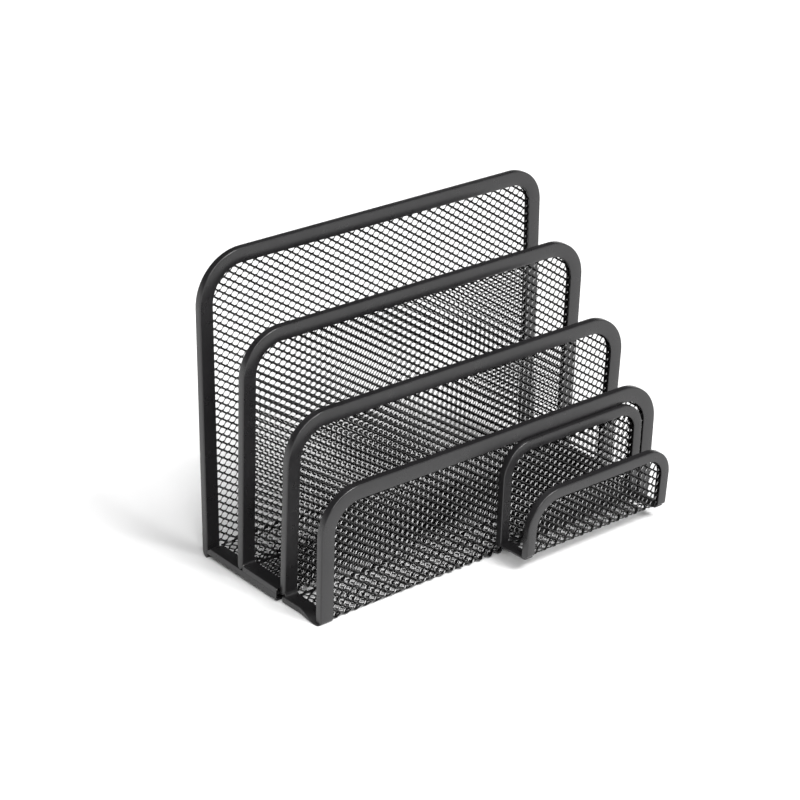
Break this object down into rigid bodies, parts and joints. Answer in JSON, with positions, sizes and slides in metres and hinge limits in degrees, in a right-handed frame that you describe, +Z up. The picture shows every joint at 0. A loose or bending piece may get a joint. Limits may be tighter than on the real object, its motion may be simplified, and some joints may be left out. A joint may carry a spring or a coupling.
{
  "type": "desktop file sorter",
  "caption": "Stepped desktop file sorter of dark grey expanded steel mesh in rounded folded rims, with a small pocket on its front panel.",
  "frame": {"origin": "middle of the footprint's bounding box, on the table", "axes": "+X towards the right side seen from the front, +Y towards the tall back panel, +Z up"},
  "size_m": [0.2, 0.1086, 0.1453],
  "materials": {
    "rim_coat": "satin",
    "mesh_coat": "satin",
    "weld": "satin"
  },
  "bodies": {
    "root": {"back_rim": "rim_coat", "back_base_rim_left": "rim_coat", "back_base_rim_right": "rim_coat", "back_mesh": "mesh_coat", "second_rim": "rim_coat", "second_foot_rim_left": "rim_coat", "second_foot_rim_right": "rim_coat", "second_mesh": "mesh_coat", "third_rim": "rim_coat", "front_rim": "rim_coat", "front_base_rim_left": "rim_coat", "front_base_rim_right": "rim_coat", "front_mesh": "mesh_coat", "pocket_back_rim": "rim_coat", "pocket_front_rim": "rim_coat", "pocket_base_rim_left": "rim_coat", "pocket_base_rim_right": "rim_coat", "pocket_mesh": "mesh_coat", "tack_welds_left": "weld", "tack_welds_right": "weld"}
  },
  "joints": []
}
